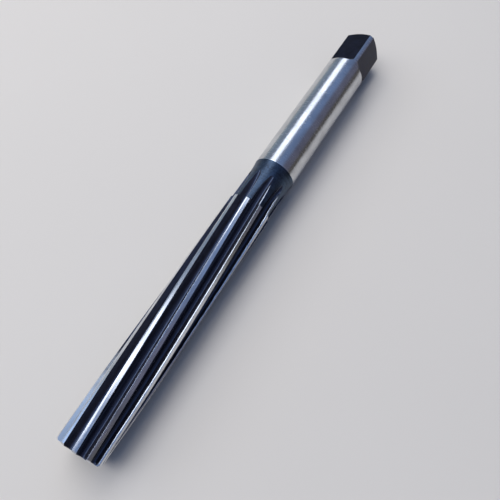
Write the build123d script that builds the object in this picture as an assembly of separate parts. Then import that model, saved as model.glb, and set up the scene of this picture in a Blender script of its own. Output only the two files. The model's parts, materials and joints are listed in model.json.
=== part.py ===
from build123d import *
from math import asin, atan2, cos, degrees, radians, sin, sqrt
import os

# Hand reamer, ground from one bar of tool steel, as it lies on a table.
# The axis runs along X, with the cutting end at low X and the square at high X, and Z is up.
# Millimetres and degrees. Angles about the axis start at the top and grow towards -Y.

# lengths along the axis, from the cutting end
overall_length = 163.0
cutting_length = 81.0
shank_start = 96.4
square_length = 14.0

# diameters and radii
cutting_diameter = 14.0
neck_diameter = 13.3
shank_diameter = 13.98
square_across_flats = 11.1
flare_radius = 24.0
square_runout_radius = 2.1

# cutting end
lead_length = 20.0
lead_drop = 0.3
bevel = 0.4
tang_chamfer = 0.6

# teeth: spaced unevenly so that the reamer does not chatter, and each faces its like across the axis
# the first pitch is the one that ends at the first cutting edge
tooth_pitches = [34.5, 36.0, 37.5, 39.0, 33.0]
land_angle = 11.8
margin_angle = 3.0
relief_drop = 0.10
flute_depth = 2.0
flute_root_radius = 0.9
spiral_lead = 640.0
fluting_cutter_radius = 30.0
flute_runout_start = 82.2

# centre holes, 60 degrees
centre_pilot_diameter = 2.0
centre_mouth_diameter = 4.2
centre_pilot_depth = 4.0

# how it lies: the first cutting edge and one corner of the square, as angles from the top
first_edge_angle = 2.2
square_corner_angle = 22.6

cut_over = 1.0
root_arcs = 3  # each root arc is drawn in short spans, which keeps the faces of a flute simple
radius = cutting_diameter / 2
neck_radius = neck_diameter / 2
shank_radius = shank_diameter / 2
square_start = overall_length - square_length


def blank():
    """The turned bar: bevel, taper lead, lands, step to the neck, flare, shank and end chamfer."""
    flare_run = sqrt(flare_radius**2 - (flare_radius - shank_radius + neck_radius) ** 2)
    step = radius - neck_radius
    with BuildPart() as turned:
        with BuildSketch(Plane.XZ):
            with BuildLine():
                lower = Polyline(
                    (0, 0),
                    (0, radius - lead_drop - bevel),
                    (bevel, radius - lead_drop),
                    (lead_length, radius),
                    (cutting_length, radius),
                    (cutting_length + step, neck_radius),
                    (shank_start - flare_run, neck_radius),
                )
                flare = ThreePointArc(
                    lower @ 1,
                    (
                        shank_start - flare_run / 2,
                        neck_radius + flare_radius - sqrt(flare_radius**2 - (flare_run / 2) ** 2),
                    ),
                    (shank_start, shank_radius),
                )
                Polyline(
                    flare @ 1,
                    (overall_length - tang_chamfer, shank_radius),
                    (overall_length, shank_radius - tang_chamfer),
                    (overall_length, 0),
                    (0, 0),
                )
            make_face()
        revolve(axis=Axis.X)
    return turned.part


def flute_profile(flute_angle):
    """Section of one flute and the relief behind the land before it, with the cutting face straight up."""
    root = radius - flute_depth
    heel_radius = radius - relief_drop
    outer = radius + cut_over
    heel_turn = radians(flute_angle)
    margin_turn = radians(flute_angle + land_angle - margin_angle)
    heel = Vector(heel_radius * sin(heel_turn), heel_radius * cos(heel_turn))
    # the back of the flute runs from the root arc, tangent to it, to the heel
    reach = heel - Vector(flute_root_radius, root + flute_root_radius)
    back_slope = degrees(atan2(reach.Y, reach.X) + asin(flute_root_radius / reach.length))
    spans = [Line((0, outer), (0, root + flute_root_radius))]
    for _ in range(root_arcs):
        turn = (90 + back_slope) / root_arcs
        spans.append(JernArc(spans[-1] @ 1, spans[-1] % 1, flute_root_radius, turn))
    back = Polyline(
        spans[-1] @ 1,
        heel,
        (radius * sin(margin_turn), radius * cos(margin_turn)),
        (1.1 * outer * sin(margin_turn), 1.1 * outer * cos(margin_turn)),
        (0, outer),
    )
    return Plane.YZ * Face(Wire(spans + back.edges()))


def flute_lift(x):
    """How far the cutter is raised at x: it follows the taper lead, and leaves in an arc."""
    if x < lead_length:
        return -lead_drop * (1 - x / lead_length)
    if x > flute_runout_start:
        return fluting_cutter_radius - sqrt(fluting_cutter_radius**2 - (x - flute_runout_start) ** 2)
    return 0


def flute_tool(flute_angle):
    """The space that a fluting cutter sweeps, on a left-hand spiral."""
    exit_run = sqrt(fluting_cutter_radius**2 - (fluting_cutter_radius - flute_depth - cut_over) ** 2)
    stations = [-cut_over, lead_length / 3, 2 * lead_length / 3, lead_length]
    stations += [lead_length + (flute_runout_start - lead_length) * i / 6 for i in range(1, 7)]
    stations += [flute_runout_start + exit_run * i / 6 for i in range(1, 7)]
    profile = flute_profile(flute_angle)
    sections = []
    for x in stations:
        raised = Pos(x, 0, flute_lift(x)) * profile
        sections.append(Rot(X=-360 * x / spiral_lead) * raised)
    return loft(sections)


def flutes():
    """Ten flutes: five of different widths, and the same five again across the axis."""
    tools = []
    edge = first_edge_angle - tooth_pitches[0]
    for pitch in tooth_pitches:
        edge += pitch
        tool = flute_tool(pitch - land_angle)
        tools += [Rot(X=edge) * tool, Rot(X=edge + 180) * tool]
    return tools


def square_flats():
    """Four flats for a tap wrench, each run out on a cutter radius at the shank."""
    half = square_across_flats / 2
    with BuildPart() as flat:
        with BuildSketch(Plane.XZ):
            with BuildLine():
                floor = Line((overall_length + cut_over, half), (square_start, half))
                runout = RadiusArc(
                    floor @ 1,
                    (square_start - square_runout_radius, half + square_runout_radius),
                    square_runout_radius,
                )
                Polyline(
                    runout @ 1,
                    (square_start - square_runout_radius, shank_diameter),
                    (overall_length + cut_over, shank_diameter),
                    floor @ 0,
                )
            make_face()
        extrude(amount=shank_diameter, both=True)
    return [Rot(X=square_corner_angle + 45 + 90 * i) * flat.part for i in range(4)]


def centre_hole():
    """A 60 degree centre hole that opens at the origin and runs along +X."""
    mouth = centre_mouth_diameter / 2
    pilot = centre_pilot_diameter / 2
    cone_depth = (mouth - pilot) * sqrt(3)
    with BuildPart() as hole:
        with BuildSketch(Plane.XZ):
            with BuildLine():
                Polyline(
                    (-cut_over, 0),
                    (-cut_over, mouth),
                    (0, mouth),
                    (cone_depth, pilot),
                    (centre_pilot_depth, pilot),
                    (centre_pilot_depth + pilot / sqrt(3), 0),
                    (-cut_over, 0),
                )
            make_face()
        revolve(axis=Axis.X)
    return hole.part


body = blank() - flutes() - square_flats()
body -= centre_hole()
body -= Pos(overall_length, 0, 0) * Rot(Z=180) * centre_hole()
reamer = Pos(-overall_length / 2, 0, radius) * body.solid()

os.makedirs("parts", exist_ok=True)
export_step(reamer, "parts/hand_reamer.step")
print("hand_reamer", reamer.bounding_box(), round(reamer.volume / 1000, 3), "cm3")
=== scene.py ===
import json
from math import acos, asin, atan2, cos, degrees, hypot, pi, radians, sin, sqrt, tan

import bmesh
import bpy
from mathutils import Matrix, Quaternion, Vector, noise
from mathutils.geometry import tessellate_polygon

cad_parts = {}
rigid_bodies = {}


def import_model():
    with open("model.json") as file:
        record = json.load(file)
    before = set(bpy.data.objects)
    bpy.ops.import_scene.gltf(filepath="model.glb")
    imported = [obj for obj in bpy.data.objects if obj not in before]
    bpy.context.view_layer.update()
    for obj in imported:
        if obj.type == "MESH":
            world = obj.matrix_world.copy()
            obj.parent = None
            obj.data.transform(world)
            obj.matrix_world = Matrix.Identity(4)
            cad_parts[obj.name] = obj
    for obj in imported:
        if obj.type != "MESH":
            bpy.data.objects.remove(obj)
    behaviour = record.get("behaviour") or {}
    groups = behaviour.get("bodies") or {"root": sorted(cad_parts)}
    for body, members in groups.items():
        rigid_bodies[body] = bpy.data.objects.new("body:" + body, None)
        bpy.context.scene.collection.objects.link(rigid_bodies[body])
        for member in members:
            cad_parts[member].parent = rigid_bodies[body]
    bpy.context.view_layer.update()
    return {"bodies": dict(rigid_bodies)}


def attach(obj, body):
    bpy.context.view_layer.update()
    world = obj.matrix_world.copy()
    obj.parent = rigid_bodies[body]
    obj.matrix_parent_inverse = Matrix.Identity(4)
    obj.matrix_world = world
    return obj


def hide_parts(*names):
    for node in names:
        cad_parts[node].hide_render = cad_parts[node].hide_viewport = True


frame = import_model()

# millimetres and degrees; x starts at the cutting end, angles start at the top and grow towards -Y
reamer = {
    "length": 163.0,
    "landLength": 81.0,
    "shankStart": 96.4,
    "squareStart": 149.0,
    "landRadius": 7.0,
    "neckRadius": 6.65,
    "shankRadius": 6.99,
    "acrossFlats": 10.9,
    "flareRadius": 24.0,
    "shankRim": 0.2,  # the burnished first turn of the ground shank
    "flatRunout": 2.1,  # radius in which each flat runs out at the shank
    "leadLength": 20.0,  # the taper lead, and how much it drops towards the tip
    "leadDrop": 0.3,
    "bevel": 0.4,
    "tangChamfer": 0.8,  # how long the chamfer at the square is, and how much it takes off the radius
    "tangDrop": 1.64,
    "pitches": (34.5, 36.0, 37.5, 39.0, 33.0),  # uneven against chatter, and used twice round the bar
    "landAngle": 11.8,
    "marginAngle": 3.0,
    "reliefDrop": 0.04,  # how much lower the heel of a land is than its edge
    "heelStrip": 0.2,  # the wheel that grinds the relief stops short of the heel, which stays black
    "fluteDepth": 2.0,
    "rootRadius": 0.9,
    "spiralLead": 640.0,  # one turn of the flutes, to the left
    "cutterRadius": 30.0,  # the arc in which the flutes leave the neck, and where it starts
    "runoutStart": 82.2,
    "firstEdge": 2.2,  # as the tool lies: angles of the first cutting edge and of a corner of the square
    "squareCorner": 22.0,
    "centreMouth": 2.1,  # radii of a centre hole at its mouth and in its pilot, and how deep it is
    "centrePilot": 1.0,
    "centreDepth": 4.0,
    # wear along each cutting edge: a small one is round, and the three over flatFrom are worn nearly flat
    "honedEdges": (0.05, 0.08, 0.34, 0.34, 0.06, 0.05, 0.06, 0.28, 0.05, 0.05),
    "flatFrom": 0.2,
    "flatReach": (0.65, 1.25),  # times that size: how far along the land, and down the cutting face
    "flatness": 0.6,
    "wander": 0.25,  # how much the wear comes and goes along an edge, and how often in a millimetre
    "wanderRate": 0.6,
    "mostOfFace": 0.6,  # the wear is at most this share of the cutting face's height
    "mostOfMargin": 1.2,  # and this one of the margin's width, before flatReach
    # small chips in the cutting edges: tooth, place along the tool, size
    "nicks": ((1, 33.5, 0.10), (1, 36.4, 0.14), (1, 38.6, 0.12), (1, 42.0, 0.10), (1, 45.2, 0.12),
              (0, 5.5, 0.07), (9, 12.0, 0.06), (2, 58.5, 0.05), (5, 12.0, 0.08), (6, 47.0, 0.07),
              (7, 70.0, 0.07), (4, 29.0, 0.08)),
    "nickReach": 0.6,  # how far a chip reaches to each side
    "rubbedFlute": 9,  # the flute whose back is rubbed bright, and how far from the tip
    "rubbedLength": 34.0,
}

mesher = {
    # points of a flute (its back, root arc, cutting face and worn edge) and of the land behind it
    "back": 6, "root": 10, "wall": 4, "edge": 7, "margin": 3, "relief": 9,
    # points of one flat and one corner of the square, and round a centre hole
    "flat": 12, "corner": 30, "hole": 48,
    # spans along the bar
    "bevelSpans": 3, "leadSpans": 39, "landSpans": 122, "runoutSpans": 44, "flareSpans": 10,
    "shankSpans": 26, "flatSpans": 16, "squareSpans": 8, "chamferSpans": 10,
    # the higher the power, the closer the spans lie where a form runs out
    "runoutPower": 1.7, "flatPower": 1.5, "chamferPower": 1.8,
    "slideEnd": 145.0,  # by here the points of the round shank lie as the square wants them
    "evenEnd": 146.0,  # the shank's even spans end here
    "weld": 1e-6,  # metres
}

landRadius = reamer["landRadius"]
neckRadius = reamer["neckRadius"]
shankRadius = reamer["shankRadius"]
flareRun = sqrt(reamer["flareRadius"] ** 2 - (reamer["flareRadius"] - shankRadius + neckRadius) ** 2)
flareStart = reamer["shankStart"] - flareRun
stepEnd = reamer["landLength"] + landRadius - neckRadius
rootHeight = landRadius - reamer["fluteDepth"] + reamer["rootRadius"]
tangStart = reamer["length"] - reamer["tangChamfer"]


def blankRadius(x):
    # the turned bar before it is fluted
    if x < reamer["bevel"]:
        return landRadius - reamer["leadDrop"] - reamer["bevel"] + x
    if x < reamer["leadLength"]:
        toLands = reamer["leadLength"] - x
        return landRadius - reamer["leadDrop"] * toLands / (reamer["leadLength"] - reamer["bevel"])
    if x <= reamer["landLength"]:
        return landRadius
    if x < stepEnd:
        return landRadius - (x - reamer["landLength"])
    if x < flareStart:
        return neckRadius
    if x < reamer["shankStart"]:
        flare = reamer["flareRadius"]
        return neckRadius + flare - sqrt(flare ** 2 - (x - flareStart) ** 2)
    return shankRadius - reamer["tangDrop"] * max(0.0, x - tangStart) / reamer["tangChamfer"]


def cutterLift(x):
    # follows the taper lead at the tip and leaves the neck in an arc
    if x < reamer["leadLength"]:
        return -reamer["leadDrop"] * (1 - x / reamer["leadLength"])
    if x > reamer["runoutStart"]:
        cutter = reamer["cutterRadius"]
        return cutter - sqrt(cutter ** 2 - (x - reamer["runoutStart"]) ** 2)
    return 0.0


def twist(x):
    return -360 * x / reamer["spiralLead"]


teeth = []  # (angle of the cutting edge, angle of the flute in front of it)
edgeAngle = reamer["firstEdge"] - reamer["pitches"][0]
for pitch in reamer["pitches"] * 2:
    edgeAngle += pitch
    teeth.append((edgeAngle, pitch - reamer["landAngle"]))
toothCount = len(teeth)

# the flutes end where the root arc leaves the neck
outreach = neckRadius + reamer["rootRadius"]
liftAtEnd = sqrt(outreach ** 2 - reamer["rootRadius"] ** 2) - rootHeight
runoutLength = sqrt(reamer["cutterRadius"] ** 2 - (reamer["cutterRadius"] - liftAtEnd) ** 2)
fluteEnd = reamer["runoutStart"] + runoutLength


def nextTooth(tooth):
    # its number, and the full turn that its angles need where the count starts again
    return (tooth + 1) % toothCount, 360 * ((tooth + 1) // toothCount)


def edgeWear(tooth, x, wall):
    # the honed edge wanders a little, has chips, and dies out where the cutting face does
    alongNoise = Vector((x * reamer["wanderRate"], tooth * 7.3, 0.5))  # a line of its own for each tooth
    size = reamer["honedEdges"][tooth] * (1 + reamer["wander"] * noise.noise(alongNoise))
    for where, at, chip in reamer["nicks"]:
        if where == tooth and abs(x - at) < reamer["nickReach"]:
            size += chip * (1 - abs(x - at) / reamer["nickReach"])
    marginWidth = landRadius * radians(reamer["marginAngle"])
    return min(size, reamer["mostOfFace"] * max(0.0, wall), reamer["mostOfMargin"] * marginWidth)


def fluteSection(tooth, x):
    # points of one flute from the heel to the worn edge, as (angle, radius), and the angles at which
    # its cutting face meets the blank and its worn edge ends on the land
    edge, fluteAngle = teeth[tooth]
    limit = blankRadius(x)
    lift = cutterLift(x)
    root = reamer["rootRadius"]
    heelRadius = landRadius - reamer["reliefDrop"]
    heel = Vector((heelRadius * sin(radians(fluteAngle)), heelRadius * cos(radians(fluteAngle)) + lift))
    centre = Vector((root, rootHeight + lift))
    reach = heel - centre
    slope = atan2(reach.y, reach.x) + asin(root / reach.length)
    backTurn = 1.5 * pi + slope  # where the straight back leaves the root arc
    # the part of the root circle that lies in the blank spreads from its point closest to the axis
    opposite = atan2(centre.y, centre.x) + pi
    spread = (centre.length ** 2 + root * root - limit ** 2) / (2 * root * centre.length)
    spread = acos(max(-1.0, min(1.0, spread)))
    arcStart = max(pi, opposite - spread)
    arcEnd = min(backTurn, opposite + spread)

    def onArc(turn):
        return centre + root * Vector((cos(turn), sin(turn)))

    low = onArc(arcEnd)
    high = low
    if opposite + spread >= backTurn:  # the straight back is still there, up to the blank or the heel
        along = heel - low
        a, b, c = along.dot(along), 2 * low.dot(along), low.dot(low) - limit ** 2
        high = low + along * min(1.0, max(0.0, (-b + sqrt(max(0.0, b * b - 4 * a * c))) / (2 * a)))
    base = onArc(arcStart)
    wornFlat = reamer["honedEdges"][tooth] > reamer["flatFrom"] and x <= reamer["landLength"]
    wear = edgeWear(tooth, x, limit - base.y)
    width, rise = [wear * share for share in (reamer["flatReach"] if wornFlat else (1.0, 1.0))]
    hasWall = arcStart == pi and width > 0
    top = Vector((0.0, limit - rise)) if hasWall else base
    points = [high.lerp(low, i / mesher["back"]) for i in range(mesher["back"])]
    points += [onArc(arcEnd + (arcStart - arcEnd) * i / mesher["root"]) for i in range(mesher["root"])]
    points += [base.lerp(top, i / mesher["wall"]) for i in range(mesher["wall"] + 1)]
    for i in range(1, mesher["edge"]):
        share = i / mesher["edge"]
        bend = pi / 2 * share
        worn = Vector((width * (cos(bend) - 1), rise * sin(bend)))
        if wornFlat:
            worn = worn.lerp(share * Vector((-width, rise)), reamer["flatness"])
        points.append(top + worn if hasWall else base)
    turn = edge + twist(x)
    section = [(turn - degrees(atan2(p.x, p.y)), p.length) for p in points]
    landFrom = turn if hasWall else turn - degrees(atan2(base.x, base.y))
    bevelled = landFrom + (degrees(width / limit) if hasWall else 0.0)
    return section, landFrom, bevelled


def reliefLine(tooth, x):
    # the relief behind a land is straight across and cut with the next flute: where it is closest to
    # the axis, as an angle and a distance
    after, wrap = nextTooth(tooth)
    edge, fluteAngle = teeth[after]

    def reliefPoint(radius, angle):
        return Vector((radius * sin(radians(angle)), radius * cos(radians(angle)) + cutterLift(x)))

    heel = reliefPoint(landRadius - reamer["reliefDrop"], fluteAngle)
    reach = reliefPoint(landRadius, fluteAngle + reamer["landAngle"] - reamer["marginAngle"]) - heel
    normal = Vector((-reach.y, reach.x)).normalized()
    turn = edge + wrap + twist(x)
    return turn - degrees(atan2(normal.x, normal.y)), normal.dot(heel)


def landShares(marginShare, heelShare):
    # where a land's points lie across its width: the margin, the relief, and the black strip at the heel
    shares = [marginShare * i / mesher["margin"] for i in range(mesher["margin"])]
    reliefShare = 1 - marginShare - heelShare
    last = mesher["relief"] - 1
    return shares + [marginShare + reliefShare * i / last for i in range(mesher["relief"])]


neckShares = landShares(reamer["marginAngle"] / reamer["landAngle"],
                        degrees(reamer["heelStrip"] / landRadius) / reamer["landAngle"])


def toothedRing(x):
    # one closed section through the teeth or the run-out, in the order of growing angle
    onLands = x <= reamer["landLength"]
    limit = blankRadius(x)
    flutes = [fluteSection(tooth, x) for tooth in range(toothCount)]
    ring = []
    for tooth, (section, landFrom, bevelled) in enumerate(flutes):
        ring += section
        after, wrap = nextTooth(tooth)
        landWidth = flutes[after][0][0][0] + wrap - landFrom  # up to the next flute's first point
        shares = neckShares
        if onLands:  # the relief starts where it meets the blank, later on the taper lead
            nearest, distance = reliefLine(tooth, x)
            marginEnd = nearest - degrees(acos(min(1.0, distance / limit)))
            heelWidth = degrees(reamer["heelStrip"] * min(1.0, x / reamer["leadLength"]) / limit)
            shares = landShares((marginEnd - landFrom) / landWidth, heelWidth / landWidth)
        for i, share in enumerate(shares):
            angle = landFrom + landWidth * share
            if i < mesher["margin"]:  # the margin starts behind the worn edge
                angle += (bevelled - landFrom) * (1 - i / mesher["margin"])
            radius = limit
            if onLands and i > mesher["margin"]:
                radius = min(limit, distance / cos(radians(angle - nearest)))
            ring.append((angle, radius))
    return ring


def toothStrips():
    # what each strip between two neighbouring points of a toothed ring is
    strips = []
    for tooth in range(toothCount):
        strips += ["back" if tooth == reamer["rubbedFlute"] else "flute"] * mesher["back"]
        strips += ["root"] * mesher["root"] + ["flute"] * mesher["wall"] + ["edge"] * mesher["edge"]
        strips += ["margin"] * mesher["margin"] + ["relief"] * (mesher["relief"] - 1) + ["heel"]
    return strips


# the shank's points start where the toothed rings end, and slide to the square's corners on their way
# back; its corners have as many points as the ten lands
neckAngles = []
for tooth in range(toothCount):
    after, wrap = nextTooth(tooth)
    here = fluteSection(tooth, fluteEnd)[1]
    landWidth = fluteSection(after, fluteEnd)[1] + wrap - here
    neckAngles += [here + landWidth * share for share in neckShares]
pointCount = 4 * mesher["corner"]
firstFlat = reamer["squareCorner"] + 45
nearest = min(range(pointCount), key=lambda j: abs((neckAngles[j] - firstFlat + 180) % 360 - 180))
cornerShift = []
for j in range(pointCount):
    square = firstFlat + 90 * (j // mesher["corner"]) + 90 * (j % mesher["corner"]) / mesher["corner"]
    cornerShift.append((neckAngles[(nearest + j) % pointCount] - square + 180) % 360 - 180)


def shankRing(x):
    # round, or with four flats near the end; the flats are folded into single points where it is round
    radius = blankRadius(x)
    half = reamer["acrossFlats"] / 2
    run = reamer["flatRunout"]
    if x < reamer["squareStart"]:
        back = min(run, reamer["squareStart"] - x)
        half += run - sqrt(run * run - back * back)
        if back == run:
            half = radius
    cut = acos(min(1.0, half / radius))
    slid = (x - reamer["shankStart"]) / (mesher["slideEnd"] - reamer["shankStart"])
    slid = max(0.0, min(1.0, slid))
    slid = slid * slid * (3 - 2 * slid)
    ring = []
    for side in range(4):
        middle = firstFlat + 90 * side
        first = side * mesher["corner"]
        for i in range(mesher["flat"]):
            across = radius * sin(cut) * (2 * i / mesher["flat"] - 1)
            angle = middle + degrees(atan2(across, radius * cos(cut))) + cornerShift[first] * (1 - slid)
            ring.append((angle, hypot(across, radius * cos(cut))))
        for i in range(mesher["corner"]):
            angle = middle + degrees(cut) + (90 - 2 * degrees(cut)) * i / mesher["corner"]
            ring.append((angle + cornerShift[first + i] * (1 - slid), radius))
    return ring


def shankStrips():
    # what each strip between two neighbouring points of a shank ring is
    strips = []
    for side in range(4):
        strips += [f"flat{side}"] * mesher["flat"] + ["corner"] * mesher["corner"]
    return strips


def steps(start, end, count, power=1.0):
    # stations from start towards end, closer together at the end where power is over 1
    return [end - (end - start) * (1 - i / count) ** power for i in range(count)]


toothStations = steps(0, reamer["bevel"], mesher["bevelSpans"])
toothStations += steps(reamer["bevel"], reamer["leadLength"], mesher["leadSpans"])
toothStations += steps(reamer["leadLength"], reamer["landLength"], mesher["landSpans"])
toothStations += [reamer["landLength"], reamer["landLength"] + reamer["reliefDrop"]]
toothStations += steps(stepEnd, fluteEnd, mesher["runoutSpans"], mesher["runoutPower"]) + [fluteEnd]

shankStations = [fluteEnd] + steps(flareStart, reamer["shankStart"], mesher["flareSpans"])
shankStations += [reamer["shankStart"]]
rimEnd = reamer["shankStart"] + reamer["shankRim"]
shankStations += steps(rimEnd, mesher["evenEnd"], mesher["shankSpans"]) + [mesher["evenEnd"]]
# each flat runs out in an arc at the shank
runoutRise = reamer["flatRunout"] - shankRadius + reamer["acrossFlats"] / 2
flatsFrom = reamer["squareStart"] - sqrt(reamer["flatRunout"] ** 2 - runoutRise ** 2)
for i in range(mesher["flatSpans"]):
    share = (i / mesher["flatSpans"]) ** mesher["flatPower"]
    shankStations.append(flatsFrom + (reamer["squareStart"] - flatsFrom) * share)
shankStations += steps(reamer["squareStart"], tangStart, mesher["squareSpans"])
# and ends in an arc where the wide chamfer cuts it
flatDepth = shankRadius - reamer["acrossFlats"] / 2
flatsTo = tangStart + reamer["tangChamfer"] * flatDepth / reamer["tangDrop"]
shankStations += steps(tangStart, flatsTo, mesher["chamferSpans"], mesher["chamferPower"])
shankStations += [flatsTo, reamer["length"]]


def place(x, angle, radius):
    # metres in the shared frame
    turn = radians(angle)
    return Vector((x - reamer["length"] / 2, -radius * sin(turn), landRadius + radius * cos(turn))) / 1000


surfaces = ["landGround", "edgeHoned", "fluteOxide", "rootOxide", "fluteRubbed",
            "neckOxide", "shankGround", "flatOxide", "endOxide", "centreWorn"]
groups = {}  # name of a smoothing group -> its number; the edges between two groups stay sharp


def surfaceOf(strip, x):
    # (smoothing group, surface) of a strip at x
    if strip == "edge":
        return "edge", "edgeHoned"
    if strip == "root":
        return "flute", "rootOxide"
    if strip in ("flute", "back"):
        rubbed = strip == "back" and x < reamer["rubbedLength"]
        return "flute", "fluteRubbed" if rubbed else "fluteOxide"
    if strip in ("margin", "relief", "heel"):
        if x < reamer["bevel"]:
            return "bevel", "landGround"
        if x < reamer["landLength"]:
            group = "margin" if strip == "margin" else "relief"
            return group, "fluteOxide" if strip == "heel" else "landGround"
        return "step" if x < stepEnd else "neck", "neckOxide"
    if strip.startswith("flat"):
        return strip, "flatOxide"
    if x < reamer["shankStart"]:
        return "neck", "neckOxide"
    if x < tangStart:
        return "shank", "edgeHoned" if x < rimEnd else "shankGround"
    return "tangChamfer", "endOxide"


def addFace(bm, corners, group, surface):
    face = bm.faces.new(corners)
    face.smooth = True
    face.material_index = surfaces.index(surface)
    face[bm.faces.layers.int["group"]] = groups.setdefault(group, len(groups))


def skin(bm, stations, ringAt, strips):
    # joins the rings at the stations with one row of faces for each strip
    rings = [[bm.verts.new(place(x, angle, radius)) for angle, radius in ringAt(x)] for x in stations]
    for i in range(len(stations) - 1):
        middle = (stations[i] + stations[i + 1]) / 2
        for j, strip in enumerate(strips):
            k = (j + 1) % len(strips)
            corners = (rings[i][j], rings[i][k], rings[i + 1][k], rings[i + 1][j])
            addFace(bm, corners, *surfaceOf(strip, middle))


def endFace(bm, x, ring, inward):
    # the flat end, with its 60 degree centre hole and the drill's 120 degree point
    outline = []
    for angle, radius in ring:
        point = place(x, angle, radius)
        if not outline or (point - outline[-1]).length > mesher["weld"]:
            outline.append(point)
    count = mesher["hole"]
    mouth, pilot, depth = reamer["centreMouth"], reamer["centrePilot"], reamer["centreDepth"]
    profile = [(0.0, mouth), ((mouth - pilot) * sqrt(3), pilot), (depth, pilot)]
    rings = [[place(x + inward * d, 360 * i / count, r) for i in range(count)] for d, r in profile]
    corners = [bm.verts.new(p) for p in outline + rings[0]]
    for triangle in tessellate_polygon([outline, rings[0]]):
        addFace(bm, [corners[i] for i in triangle], f"end{x}", "endOxide")
    tip = bm.verts.new(place(x + inward * (depth + pilot / sqrt(3)), 0, 0))
    walls = [[bm.verts.new(p) for p in ring] for ring in rings]
    for i in range(count):
        k = (i + 1) % count
        cone = (walls[0][i], walls[0][k], walls[1][k], walls[1][i])
        bore = (walls[1][i], walls[1][k], walls[2][k], walls[2][i])
        addFace(bm, cone, f"cone{x}", "centreWorn")
        addFace(bm, bore, f"pilot{x}", "endOxide")
        addFace(bm, (walls[2][i], walls[2][k], tip), f"drilled{x}", "endOxide")


bm = bmesh.new()
bm.faces.layers.int.new("group")
skin(bm, toothStations, toothedRing, toothStrips())
skin(bm, shankStations, shankRing, shankStrips())
endFace(bm, 0.0, toothedRing(0.0), 1)
endFace(bm, reamer["length"], shankRing(reamer["length"]), -1)
bmesh.ops.remove_doubles(bm, verts=bm.verts, dist=mesher["weld"])
bmesh.ops.recalc_face_normals(bm, faces=bm.faces)
layer = bm.faces.layers.int["group"]
openEdges = 0
for edge in bm.edges:
    if len(edge.link_faces) != 2:
        openEdges += 1
    elif edge.link_faces[0][layer] != edge.link_faces[1][layer]:
        edge.smooth = False
reamerMesh = bpy.data.meshes.new("reamer")
bm.to_mesh(reamerMesh)
bm.free()
reamerPiece = bpy.data.objects.new("reamer", reamerMesh)
bpy.context.scene.collection.objects.link(reamerPiece)
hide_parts("hand_reamer")
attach(reamerPiece, "root" if "root" in frame["bodies"] else sorted(frame["bodies"])[0])
triangles = sum(len(p.vertices) - 2 for p in reamerMesh.polygons)
print("reamer meshed:", triangles, "triangles,", openEdges, "open edges")


def hexColour(code):
    # sRGB hex to the linear values that a shader wants
    channels = [int(code[i:i + 2], 16) / 255 for i in (1, 3, 5)]
    return tuple(c / 12.92 if c <= 0.04045 else ((c + 0.055) / 1.055) ** 2.4 for c in channels) + (1.0,)


def addNode(tree, kind, links=None, stops=(), **settings):
    # links: input name or number -> a value, or the output of another node
    # stops: (place, colour) of each stop of a colour ramp, from low to high
    node = tree.nodes.new(kind)
    for key, value in settings.items():
        setattr(node, key, value)
    for key, value in (links or {}).items():
        if isinstance(value, bpy.types.NodeSocket):
            tree.links.new(value, node.inputs[key])
        else:
            node.inputs[key].default_value = value
    for i, (position, colour) in enumerate(stops):
        ramp = node.color_ramp.elements
        stop = ramp[i] if i < 2 else ramp.new(position)
        stop.position = position
        stop.color = colour
    return node


def startMaterial(name):
    # an empty material, its tree, and the place on the piece in metres
    material = bpy.data.materials.new(name)
    material.use_nodes = True
    material.node_tree.nodes.clear()
    where = addNode(material.node_tree, "ShaderNodeTexCoord").outputs["Object"]
    return material, material.node_tree, where


def perMetre(along, across):
    # a pattern that repeats after so many millimetres along the bar, and across it
    return (1000 / along, 1000 / across, 1000 / across)


# millimetres along the bar and across it
patternSize = {
    "rubbedPatch": (6.0, 3.0),
    "bathBlotch": (3.0, 2.0),
    "oxideSpeck": (0.3, 0.3),  # the crystals are finer, drawn coarser so that they show
    "stoneCrumb": (1.6, 0.8),
}

# line and mark in millimetres along and across, lineHeight in millimetres
groundLook = {
    "shank": {"steel": "#cfd1d4", "dull": "#b9babd", "roughness": 0.2, "line": (0.35, 9.0),
              "lineHeight": 0.0016, "scratch": 0.75, "mark": (0.3, 2.2), "grain": 0.4},
    "land": {"steel": "#e4e6ea", "dull": "#c2c4c9", "roughness": 0.25, "line": (0.30, 2.0),
             "lineHeight": 0.0012, "scratch": 0.4, "mark": (7.0, 0.3), "grain": 0.3},
}


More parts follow.
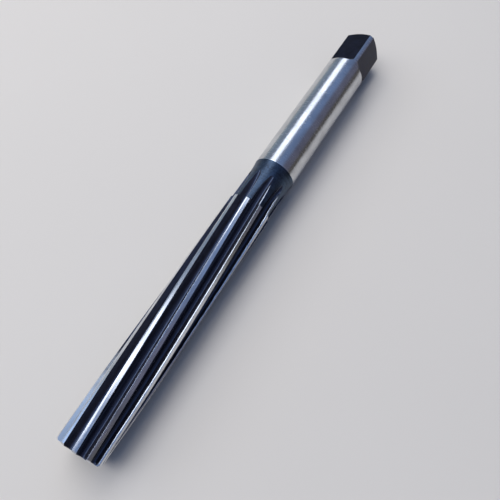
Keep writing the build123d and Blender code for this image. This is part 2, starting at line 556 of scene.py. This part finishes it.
def groundSteel(name, look):
    # high-speed steel, cylindrically ground: bright, with a highlight that the wheel lines draw out
    material, tree, where = startMaterial(name)
    # the wheel lines run round the bar; a real one is 0.02 mm wide, drawn coarser so that it shows
    lineWay = addNode(tree, "ShaderNodeMapping", {"Vector": where, "Scale": perMetre(*look["line"])})
    lines = addNode(tree, "ShaderNodeTexNoise", {
        "Vector": lineWay.outputs[0], "Scale": 1.0, "Detail": 3.0, "Roughness": 0.6})
    # handling marks, 0.3 mm wide and a few millimetres long: round the shank, and along the lands
    markWay = addNode(tree, "ShaderNodeMapping", {
        "Vector": where, "Location": (7.0, 3.0, 1.0), "Scale": perMetre(*look["mark"])})
    marks = addNode(tree, "ShaderNodeTexNoise", {
        "Vector": markWay.outputs[0], "Scale": 1.0, "Detail": 2.0})
    scratch = addNode(tree, "ShaderNodeMapRange", {
        "Value": marks.outputs["Fac"], "From Min": 0.64, "From Max": 0.73, "To Max": look["scratch"]})
    # patches that hands have rubbed are a little brighter and smoother
    patchWay = addNode(tree, "ShaderNodeMapping", {
        "Vector": where, "Scale": perMetre(*patternSize["rubbedPatch"])})
    patches = addNode(tree, "ShaderNodeTexNoise", {
        "Vector": patchWay.outputs[0], "Scale": 1.0, "Detail": 4.0})
    tone = addNode(tree, "ShaderNodeValToRGB", {"Fac": patches.outputs["Fac"]},
                   stops=((0.3, hexColour(look["dull"])), (0.62, hexColour(look["steel"]))))
    dulled = addNode(tree, "ShaderNodeMapRange", {
        "Value": patches.outputs["Fac"], "From Min": 0.3, "From Max": 0.75,
        "To Min": look["roughness"] + 0.05, "To Max": look["roughness"] - 0.02})
    # a scratch is rougher than the steel round it, and three times as deep as the wheel lines
    rough = addNode(tree, "ShaderNodeMath", {
        0: scratch.outputs[0], 1: 0.35, 2: dulled.outputs[0]}, operation="MULTIPLY_ADD")
    relief = addNode(tree, "ShaderNodeMath", {
        0: scratch.outputs[0], 1: -3.0, 2: lines.outputs["Fac"]}, operation="MULTIPLY_ADD")
    bump = addNode(tree, "ShaderNodeBump", {
        "Height": relief.outputs[0], "Strength": 1.0, "Distance": look["lineHeight"] / 1000})
    lay = addNode(tree, "ShaderNodeTangent", direction_type="RADIAL", axis="X")
    shader = addNode(tree, "ShaderNodeBsdfPrincipled", {
        "Base Color": tone.outputs[0], "Metallic": 1.0, "Roughness": rough.outputs[0],
        "Normal": bump.outputs[0], "Anisotropic": look["grain"], "Anisotropic Rotation": 0.25,
        "Tangent": lay.outputs[0]})
    addNode(tree, "ShaderNodeOutputMaterial", {"Surface": shader.outputs[0]})
    return material


# grain is how far apart the tool marks lie along and across, height how deep they are, in millimetres
fluteLook = {"dark": "#1e1e26", "pale": "#2a2b34", "roughness": 0.1, "spread": 0.03, "grain": (9.0, 0.5),
             "height": 0.003, "metallic": 0.0, "specular": 0.52, "tint": "#b8d0ff"}
oxideLook = {
    "flute": fluteLook,  # a dark, nearly smooth gloss with marks along the flute
    "root": {**fluteLook, "roughness": 0.06, "spread": 0.02, "height": 0.002, "specular": 1.0},
    "rubbed": {**fluteLook, "bare": "#eef8ff", "bareRoughness": 0.55},
    # a satin blue-grey with fine rings from turning
    "neck": {"dark": "#3a4350", "pale": "#526378", "roughness": 0.38, "spread": 0.08,
             "grain": (0.36, 12.0), "height": 0.016, "metallic": 1.0, "specular": 0.5, "tint": "#ffffff"},
    # nearly black, with marks across the bar from the end mill
    "flat": {"dark": "#141524", "pale": "#222439", "roughness": 0.34, "spread": 0.06,
             "grain": (0.6, 5.0), "height": 0.004, "metallic": 1.0, "specular": 0.5, "tint": "#ffffff"},
    "end": {"dark": "#14161e", "pale": "#232732", "roughness": 0.36, "spread": 0.08,
            "grain": (2.0, 0.6), "height": 0.006, "metallic": 0.0, "specular": 0.35, "tint": "#b8d0ff"},
}


def blackOxide(name, look):
    # steel blackened in a hot salt bath: a blue-black skin, oily sheen, tool marks still there under it
    material, tree, where = startMaterial(name)
    markWay = addNode(tree, "ShaderNodeMapping", {"Vector": where, "Scale": perMetre(*look["grain"])})
    marks = addNode(tree, "ShaderNodeTexNoise", {
        "Vector": markWay.outputs[0], "Scale": 1.0, "Detail": 3.0})
    # the bath bites unevenly, in blotches
    blotchWay = addNode(tree, "ShaderNodeMapping", {
        "Vector": where, "Scale": perMetre(*patternSize["bathBlotch"])})
    blotches = addNode(tree, "ShaderNodeTexNoise", {
        "Vector": blotchWay.outputs[0], "Scale": 1.0, "Detail": 5.0, "Roughness": 0.65})
    # fine speckle of the crystals
    speckWay = addNode(tree, "ShaderNodeMapping", {
        "Vector": where, "Scale": perMetre(*patternSize["oxideSpeck"])})
    specks = addNode(tree, "ShaderNodeTexNoise", {
        "Vector": speckWay.outputs[0], "Scale": 1.0, "Detail": 2.0})
    both = addNode(tree, "ShaderNodeMath", {
        0: specks.outputs["Fac"], 1: 0.45, 2: blotches.outputs["Fac"]}, operation="MULTIPLY_ADD")
    lined = addNode(tree, "ShaderNodeMath", {
        0: marks.outputs["Fac"], 1: 0.5, 2: both.outputs[0]}, operation="MULTIPLY_ADD")
    tone = addNode(tree, "ShaderNodeMapRange", {
        "Value": lined.outputs[0], "From Min": 0.8, "From Max": 1.15})
    colour = addNode(tree, "ShaderNodeMix", {
        0: tone.outputs[0], 6: hexColour(look["dark"]), 7: hexColour(look["pale"])},
        data_type="RGBA").outputs[2]
    rough = addNode(tree, "ShaderNodeMapRange", {
        "Value": both.outputs[0], "From Min": 0.5, "From Max": 0.95,
        "To Min": look["roughness"] - look["spread"],
        "To Max": look["roughness"] + look["spread"]}).outputs[0]
    metallic = look["metallic"]
    if "bare" in look:
        # worn through to bare steel at the tip, in streaks along the flute that thin out away from it
        fromTip = addNode(tree, "ShaderNodeSeparateXYZ", {"Vector": where}).outputs["X"]
        wear = addNode(tree, "ShaderNodeMapRange", {
            "Value": fromTip, "From Min": -reamer["length"] / 2000,
            "From Max": (reamer["rubbedLength"] - reamer["length"] / 2) / 1000,
            "To Min": 1.0, "To Max": 0.0})
        streaks = addNode(tree, "ShaderNodeMath", {
            0: lined.outputs[0], 1: 0.4, 2: wear.outputs[0]}, operation="MULTIPLY_ADD")
        bare = addNode(tree, "ShaderNodeMapRange", {
            "Value": streaks.outputs[0], "From Min": 0.6, "From Max": 1.1})
        colour = addNode(tree, "ShaderNodeMix", {
            0: bare.outputs[0], 6: colour, 7: hexColour(look["bare"])}, data_type="RGBA").outputs[2]
        metallic = bare.outputs[0]
        rough = addNode(tree, "ShaderNodeMapRange", {
            "Value": bare.outputs[0], "To Min": look["roughness"],
            "To Max": look["bareRoughness"]}).outputs[0]
    relief = addNode(tree, "ShaderNodeMath", {
        0: specks.outputs["Fac"], 1: 0.25, 2: marks.outputs["Fac"]}, operation="MULTIPLY_ADD")
    bump = addNode(tree, "ShaderNodeBump", {
        "Height": relief.outputs[0], "Strength": 1.0, "Distance": look["height"] / 1000})
    shader = addNode(tree, "ShaderNodeBsdfPrincipled", {
        "Base Color": colour, "Metallic": metallic, "Roughness": rough, "Normal": bump.outputs[0],
        "Specular IOR Level": look["specular"], "Specular Tint": hexColour(look["tint"])})
    addNode(tree, "ShaderNodeOutputMaterial", {"Surface": shader.outputs[0]})
    return material


# height of the crumbs in millimetres
honedLook = {
    "edge": {"bright": "#e2e6ea", "dirty": "#c8cbd0", "roughness": 0.16, "height": 0.004},
    "centre": {"bright": "#a9abb0", "dirty": "#3a3b42", "roughness": 0.3, "height": 0.004},
}


def honedSteel(name, look):
    # rubbed with a stone or a lathe centre: bare bright steel with dark crumbs where it was missed
    material, tree, where = startMaterial(name)
    crumbWay = addNode(tree, "ShaderNodeMapping", {
        "Vector": where, "Scale": perMetre(*patternSize["stoneCrumb"])})
    crumbs = addNode(tree, "ShaderNodeTexNoise", {
        "Vector": crumbWay.outputs[0], "Scale": 1.0, "Detail": 3.0})
    tone = addNode(tree, "ShaderNodeValToRGB", {"Fac": crumbs.outputs["Fac"]},
                   stops=((0.34, hexColour(look["dirty"])), (0.5, hexColour(look["bright"]))))
    rough = addNode(tree, "ShaderNodeMapRange", {
        "Value": crumbs.outputs["Fac"], "From Min": 0.3, "From Max": 0.7,
        "To Min": look["roughness"] + 0.12, "To Max": look["roughness"]})
    bump = addNode(tree, "ShaderNodeBump", {
        "Height": crumbs.outputs["Fac"], "Strength": 1.0, "Distance": look["height"] / 1000})
    shader = addNode(tree, "ShaderNodeBsdfPrincipled", {
        "Base Color": tone.outputs[0], "Metallic": 1.0, "Roughness": rough.outputs[0],
        "Normal": bump.outputs[0]})
    addNode(tree, "ShaderNodeOutputMaterial", {"Surface": shader.outputs[0]})
    return material


finishes = {
    "landGround": groundSteel("highSpeedSteelGroundLand", groundLook["land"]),
    "edgeHoned": honedSteel("highSpeedSteelHonedEdge", honedLook["edge"]),
    "fluteOxide": blackOxide("blackOxideMilledFlute", oxideLook["flute"]),
    "rootOxide": blackOxide("blackOxideSmoothRoot", oxideLook["root"]),
    "fluteRubbed": blackOxide("blackOxideRubbedBare", oxideLook["rubbed"]),
    "neckOxide": blackOxide("blackOxideTurnedNeck", oxideLook["neck"]),
    "shankGround": groundSteel("highSpeedSteelGroundShank", groundLook["shank"]),
    "flatOxide": blackOxide("blackOxideMilledFlat", oxideLook["flat"]),
    "endOxide": blackOxide("blackOxideTurnedEnd", oxideLook["end"]),
    "centreWorn": honedSteel("highSpeedSteelWornCentre", honedLook["centre"]),
}
for surface in surfaces:
    reamerMesh.materials.append(finishes[surface])
print("finishes made:", len(finishes))

studio = {
    # metres from the middle to a side, clouds of the paint to a metre and how dark they are
    "floor": {"colour": "#d5d1c9", "half": 5.0, "clouds": 14.0, "clouded": 0.97, "roughness": 0.85,
              "specular": 0.2},
    # the lamps hang 1 m away: angle from straight above towards +Y, half their width as an angle,
    # and metres along X
    "softbox": {"angle": 29.0, "half": 14.0, "from": -0.6, "to": 1.6, "watts": 7.2, "colour": "#eef3fd"},
    "window": {"angle": 66.0, "half": 12.0, "from": -0.95, "to": 0.03, "watts": 1.4, "colour": "#a8c4f4"},
    # a broad even light from the same side, which the steel doesn't mirror
    "fill": {"angle": 34.0, "half": 32.0, "from": -0.8, "to": 0.8, "watts": 9.4, "colour": "#fff4e6"},
    # the room by angle from straight above, towards +Y where positive: colour of the wall or ceiling
    "room": ((-180, "#55565a"), (-100, "#57544f"), (-76, "#55524f"), (-62, "#67687a"), (-36, "#676a80"),
             (-26, "#7386ab"), (-4, "#7790bd"), (8, "#7c8fb2"), (52, "#7a889d"), (76, "#8494a6"),
             (84, "#a0aab0"), (104, "#a4adb0"), (180, "#8a8a86")),
}


def plaster(name, look):
    # painted plaster: matt and even, with a faint cloud in the paint
    material, tree, where = startMaterial(name)
    cloud = addNode(tree, "ShaderNodeTexNoise", {"Vector": where, "Scale": look["clouds"], "Detail": 3.0})
    paint = hexColour(look["colour"])
    clouded = tuple(channel * look["clouded"] for channel in paint[:3]) + (1.0,)
    tone = addNode(tree, "ShaderNodeValToRGB", {"Fac": cloud.outputs["Fac"]},
                   stops=((0.0, clouded), (1.0, paint)))
    shader = addNode(tree, "ShaderNodeBsdfPrincipled", {
        "Base Color": tone.outputs[0], "Roughness": look["roughness"],
        "Specular IOR Level": look["specular"]})
    addNode(tree, "ShaderNodeOutputMaterial", {"Surface": shader.outputs[0]})
    return material


half = studio["floor"]["half"]
floorMesh = bpy.data.meshes.new("floor")
floorMesh.from_pydata([(-half, -half, 0), (half, -half, 0), (half, half, 0), (-half, half, 0)], [],
                      [(0, 1, 2, 3)])
floor = bpy.data.objects.new("floor", floorMesh)
bpy.context.scene.collection.objects.link(floor)
floorMesh.materials.append(plaster("paintedPlasterFloor", studio["floor"]))


def stripLamp(name, look):
    # a long soft box above the tool and in line with it, so that its edges draw straight lines along it
    lamp = bpy.data.lights.new(name, "AREA")
    lamp.shape = "RECTANGLE"
    lamp.size = look["to"] - look["from"]
    lamp.size_y = 2 * tan(radians(look["half"]))
    lamp.energy = look["watts"]
    lamp.color = hexColour(look["colour"])[:3]
    holder = bpy.data.objects.new(name, lamp)
    angle = radians(look["angle"])
    holder.location = ((look["from"] + look["to"]) / 2, sin(angle), cos(angle))
    holder.rotation_euler = (-angle, 0, 0)
    bpy.context.scene.collection.objects.link(holder)
    return holder


stripLamp("softbox", studio["softbox"])
stripLamp("window", studio["window"])
stripLamp("fill", studio["fill"]).visible_glossy = False

room = bpy.data.worlds.new("room")
bpy.context.scene.world = room
room.use_nodes = True
tree = room.node_tree
tree.nodes.clear()
way = addNode(tree, "ShaderNodeTexCoord").outputs["Generated"]
parts = addNode(tree, "ShaderNodeSeparateXYZ", {"Vector": way})
angle = addNode(tree, "ShaderNodeMath", {0: parts.outputs["Y"], 1: parts.outputs["Z"]},
                operation="ARCTAN2")
turn = addNode(tree, "ShaderNodeMapRange", {"Value": angle.outputs[0], "From Min": -pi, "From Max": pi})
walls = addNode(tree, "ShaderNodeValToRGB", {"Fac": turn.outputs[0]},
                stops=[((above + 180) / 360, hexColour(code)) for above, code in studio["room"]])
glow = addNode(tree, "ShaderNodeBackground", {"Color": walls.outputs[0], "Strength": 1.0})
addNode(tree, "ShaderNodeOutputWorld", {"Surface": glow.outputs[0]})

# metres, millimetres of lens and sensor, degrees of roll, and the shift as a share of the picture's width
view = {"place": (-0.0671125, -0.0406452, 0.1370966), "aim": (-0.0122089, -0.0075941, 0.007),
        "lens": 35.264, "sensor": 36.0, "roll": -0.058, "shift": (-0.001, 0.001), "near": 0.01}
camera = bpy.data.cameras.new("camera")
camera.lens = view["lens"]
camera.sensor_width = view["sensor"]
camera.clip_start = view["near"]
camera.shift_x, camera.shift_y = view["shift"]
cameraHolder = bpy.data.objects.new("camera", camera)
cameraHolder.location = view["place"]
towards = (Vector(view["aim"]) - Vector(view["place"])).to_track_quat("-Z", "Y")
cameraHolder.rotation_euler = (towards @ Quaternion((0, 0, 1), radians(view["roll"]))).to_euler()
bpy.context.scene.collection.objects.link(cameraHolder)
bpy.context.scene.camera = cameraHolder
bpy.context.scene.view_settings.view_transform = "Standard"
print("stage set")
